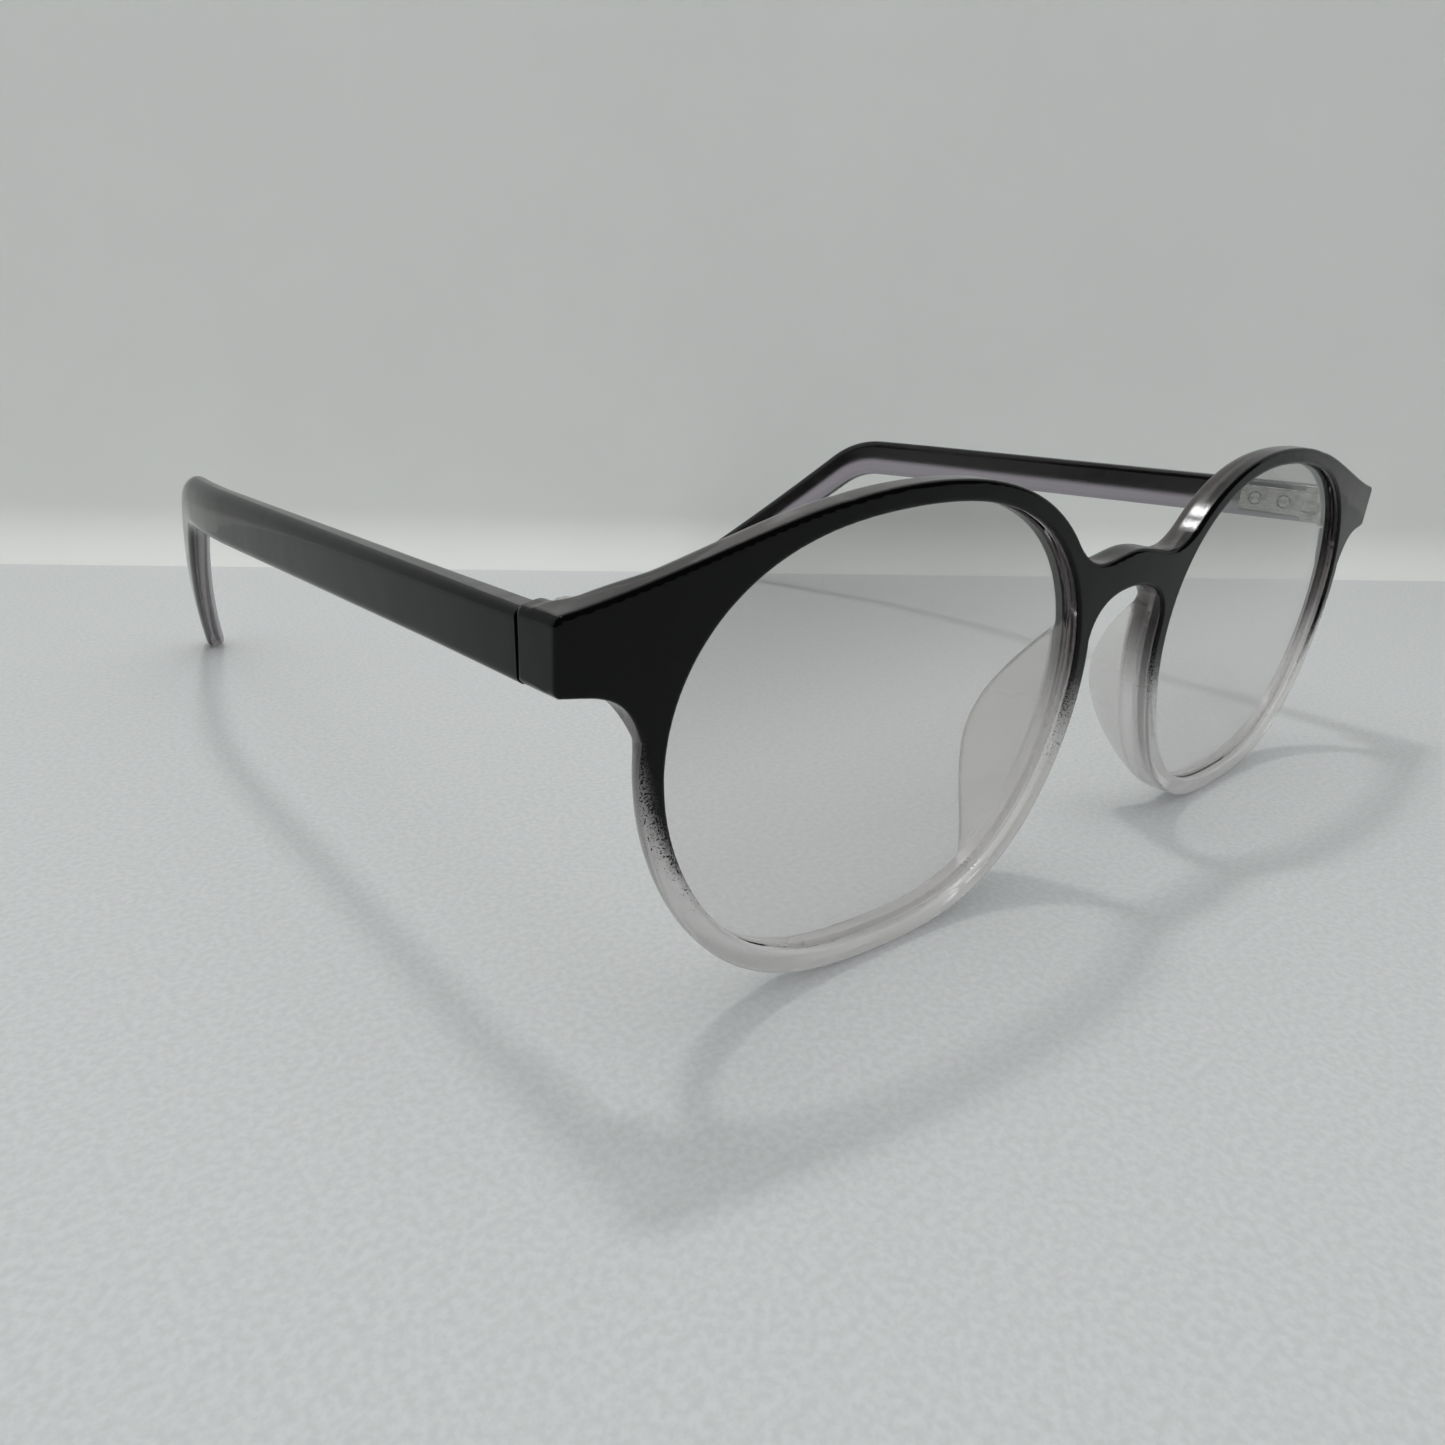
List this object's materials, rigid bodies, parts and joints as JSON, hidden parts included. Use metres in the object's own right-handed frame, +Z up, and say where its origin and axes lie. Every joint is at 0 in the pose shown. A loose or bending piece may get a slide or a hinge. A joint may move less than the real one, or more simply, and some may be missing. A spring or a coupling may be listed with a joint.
{
  "type": "eyeglasses",
  "caption": "Round-lens plastic eyeglasses with clear lenses, moulded nose pads and temples that fold on small metal hinges.",
  "frame": {"origin": "middle of the footprint, on the surface that the glasses stand on", "axes": "+X towards the wearer's left, +Y from the front towards the temple tips, +Z up"},
  "size_m": [0.1354, 0.1403, 0.0441],
  "materials": {
    "frame_plastic": "clear moulded plastic with a glossy black coat that fades to clear on the lower rims",
    "temple_plastic": "clear moulded plastic with a glossy black coat outside",
    "lens": "clear flat demonstration lens, polished",
    "hinge_metal": "plain nickel silver, lightly brushed",
    "screw_metal": "turned steel with a slotted head"
  },
  "bodies": {
    "front": {"front_frame": "frame_plastic", "lens_left": "lens", "lens_right": "lens", "hinge_front_leaf_left": "hinge_metal", "hinge_front_leaf_right": "hinge_metal", "front_leaf_screw_left_1": "screw_metal", "front_leaf_screw_left_2": "screw_metal", "front_leaf_screw_right_1": "screw_metal", "front_leaf_screw_right_2": "screw_metal", "pivot_screw_left": "screw_metal", "pivot_screw_right": "screw_metal"},
    "left_arm": {"temple_left": "temple_plastic", "hinge_temple_leaf_left": "hinge_metal", "temple_leaf_screw_left_1": "screw_metal", "temple_leaf_screw_left_2": "screw_metal"},
    "right_arm": {"temple_right": "temple_plastic", "hinge_temple_leaf_right": "hinge_metal", "temple_leaf_screw_right_1": "screw_metal", "temple_leaf_screw_right_2": "screw_metal"}
  },
  "joints": [
    {"name": "left_fold", "type": "hinge", "parent": "front", "child": "left_arm", "pos_m": [0.0627, -0.06084, 0.0338], "axis": [0, 0, 1], "range_deg": [0, 87]},
    {"name": "right_fold", "type": "hinge", "parent": "front", "child": "right_arm", "pos_m": [-0.0627, -0.06084, 0.0338], "axis": [0, 0, -1], "range_deg": [0, 76]}
  ]
}
